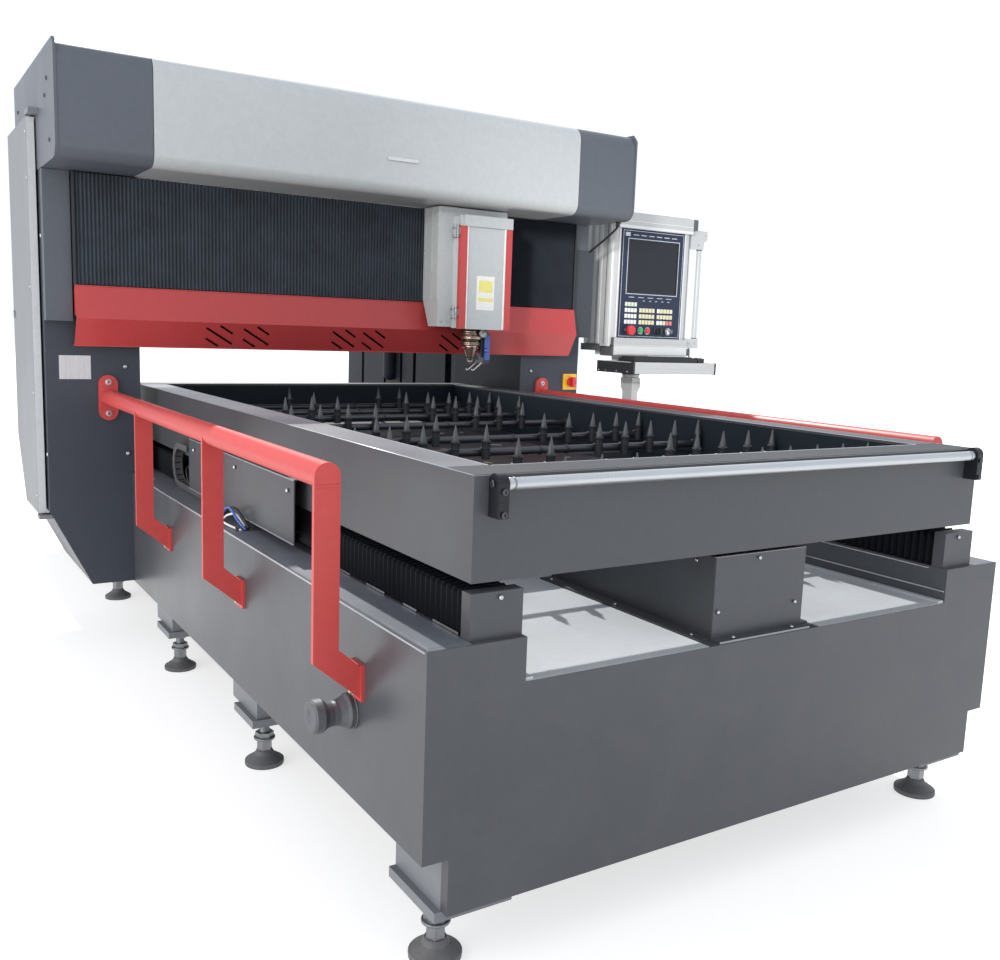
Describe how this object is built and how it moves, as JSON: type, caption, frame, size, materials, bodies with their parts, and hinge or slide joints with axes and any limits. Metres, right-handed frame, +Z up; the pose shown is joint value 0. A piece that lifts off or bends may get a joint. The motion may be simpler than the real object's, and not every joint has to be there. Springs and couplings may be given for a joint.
{
  "type": "laser die board cutter",
  "caption": "Bridge laser cutter with a long bed, sliding spike table, fixed gantry, travelling cutting head, red hand rails and a swivelling operator console.",
  "frame": {"origin": "centre of the box round the whole machine, on the floor", "axes": "+Y from the loading end towards the rear along the bed, +Z up, +X towards the operator console"},
  "size_m": [2.839, 4.065, 1.933],
  "materials": {
    "grey_paint": "satin slate-grey enamel",
    "side_paint": "light textured powder coat",
    "light_paint": "light grey gloss paint",
    "red_paint": "red gloss paint",
    "black_metal": "black oxide and black paint",
    "bright_steel": "ground steel",
    "dusty_steel": "dull dusty sheet",
    "pad_rubber": "black rubber",
    "bellows_cloth": "coated black bellows cloth",
    "motor_black": "black",
    "copper_tone": "brown anodised",
    "blue_plastic": "blue",
    "console_metal": "light anodised",
    "navy_film": "navy overlay film",
    "black_plastic": "matt black",
    "red_plastic": "red",
    "green_plastic": "green",
    "yellow_plastic": "yellow",
    "chrome_part": "bright",
    "plate_metal": "bare plate",
    "cable_black": "black sheath"
  },
  "bodies": {
    "machine": {"bed_frame": "grey_paint", "foot_blocks": "grey_paint", "levelling_pads": "pad_rubber", "levelling_studs": "black_metal", "linear_rails": "bright_steel", "rail_end_caps": "grey_paint", "rail_bellows": "bellows_cloth", "screw_cover": "grey_paint", "servo_motor": "motor_black", "screw_bearings": "black_metal", "energy_chain": "black_plastic", "gantry_column_left": "grey_paint", "gantry_column_right": "grey_paint", "front_strips": "grey_paint", "gantry_beam": "grey_paint", "cross_axis_base": "grey_paint", "cross_rails": "bright_steel", "cross_bellows": "bellows_cloth", "beam_cover": "red_paint", "top_cover_centre": "light_paint", "top_cover_caps": "grey_paint", "door_pivots": "black_metal", "laser_cabinet": "grey_paint", "bare_plates": "plate_metal", "main_switch_plate": "yellow_plastic", "handrail_left": "red_paint", "handrail_right": "red_paint", "bollards": "bright_steel", "console_arm": "grey_paint", "cover_cable": "cable_black"},
    "table": {"table_frame": "grey_paint", "table_tray": "dusty_steel", "table_rods": "black_metal", "table_spikes": "black_metal", "roller_brackets": "black_metal", "rail_carriages": "black_metal", "table_side_covers": "grey_paint", "rail_bellows_mid": "bellows_cloth", "screw_nut": "black_metal"},
    "ball_screw": {"ball_screw": "bright_steel"},
    "roller": {"loading_roller": "chrome_part"},
    "head": {"head_saddle": "black_metal", "head_box": "side_paint"},
    "head_door": {"head_door": "light_paint"},
    "nozzle": {"nozzle_unit": "copper_tone", "blow_unit": "blue_plastic"},
    "cross_screw": {"cross_screw": "bright_steel"},
    "door_left": {"side_door_left": "side_paint"},
    "door_right": {"side_door_right": "side_paint"},
    "main_switch": {"main_switch_knob": "red_plastic"},
    "console": {"console_housing": "console_metal", "console_panel": "navy_film", "console_tray": "black_plastic", "keyboard_set": "black_plastic", "keyboard_cable": "cable_black"},
    "emergency_stop": {"emergency_stop": "red_plastic"},
    "start_button": {"start_button": "green_plastic"},
    "stop_button": {"stop_button": "red_plastic"},
    "selector": {"selector_knob": "black_plastic"},
    "key_switch": {"key_switch": "chrome_part"}
  },
  "joints": [
    {"name": "table_slide", "type": "slide", "parent": "machine", "child": "table", "axis": [0, 1, 0], "range_m": [0, 1.5], "deforming": ["rail_bellows", "energy_chain"]},
    {"name": "ball_screw_spin", "type": "hinge", "parent": "machine", "child": "ball_screw", "pos_m": [-0.3055, -0.018, 0.64], "axis": [0, 1, 0], "continuous": true},
    {"name": "roller_spin", "type": "hinge", "parent": "table", "child": "roller", "pos_m": [-0.3055, -2.015, 0.899], "axis": [1, 0, 0], "continuous": true},
    {"name": "head_slide", "type": "slide", "parent": "machine", "child": "head", "axis": [1, 0, 0], "range_m": [-1.13, 0.35], "deforming": ["cross_bellows"]},
    {"name": "cross_screw_spin", "type": "hinge", "parent": "machine", "child": "cross_screw", "pos_m": [-0.3055, 0.08, 1.38], "axis": [1, 0, 0], "continuous": true},
    {"name": "nozzle_slide", "type": "slide", "parent": "head", "child": "nozzle", "axis": [0, 0, 1], "range_m": [-0.08, 0.012]},
    {"name": "head_door_hinge", "type": "hinge", "parent": "head", "child": "head_door", "pos_m": [0.0105, -0.12, 1.36], "axis": [0, 0, -1], "range_deg": [0, 110]},
    {"name": "side_door_left_hinge", "type": "hinge", "parent": "machine", "child": "door_left", "pos_m": [-1.3875, 0.163, 1.13], "axis": [0, 0, 1], "range_deg": [0, 110]},
    {"name": "side_door_right_hinge", "type": "hinge", "parent": "machine", "child": "door_right", "pos_m": [0.7765, 0.163, 1.13], "axis": [0, 0, -1], "range_deg": [0, 35]},
    {"name": "main_switch_turn", "type": "hinge", "parent": "machine", "child": "main_switch", "pos_m": [0.7165, 0.102, 0.944], "axis": [0, 1, 0], "range_deg": [0, 90]},
    {"name": "console_swivel", "type": "hinge", "parent": "machine", "child": "console", "pos_m": [1.1065, 0.172, 0.988], "axis": [0, 0, 1], "range_deg": [-45, 45]},
    {"name": "emergency_stop_press", "type": "slide", "parent": "console", "child": "emergency_stop", "axis": [0, 1, 0], "range_m": [0, 0.006], "stiffness_N_per_m": 900},
    {"name": "start_press", "type": "slide", "parent": "console", "child": "start_button", "axis": [0, 1, 0], "range_m": [0, 0.004], "stiffness_N_per_m": 600},
    {"name": "stop_press", "type": "slide", "parent": "console", "child": "stop_button", "axis": [0, 1, 0], "range_m": [0, 0.004], "stiffness_N_per_m": 600},
    {"name": "selector_turn", "type": "hinge", "parent": "console", "child": "selector", "pos_m": [1.1565, 0.057, 1.174], "axis": [0, 1, 0], "range_deg": [-45, 45]},
    {"name": "key_turn", "type": "hinge", "parent": "console", "child": "key_switch", "pos_m": [1.2165, 0.057, 1.174], "axis": [0, 1, 0], "range_deg": [0, 90]}
  ],
  "couplings": [
    {"joint": "ball_screw_spin", "follows": "table_slide", "rad_per_m": 157.08},
    {"joint": "cross_screw_spin", "follows": "head_slide", "rad_per_m": 314.16}
  ]
}
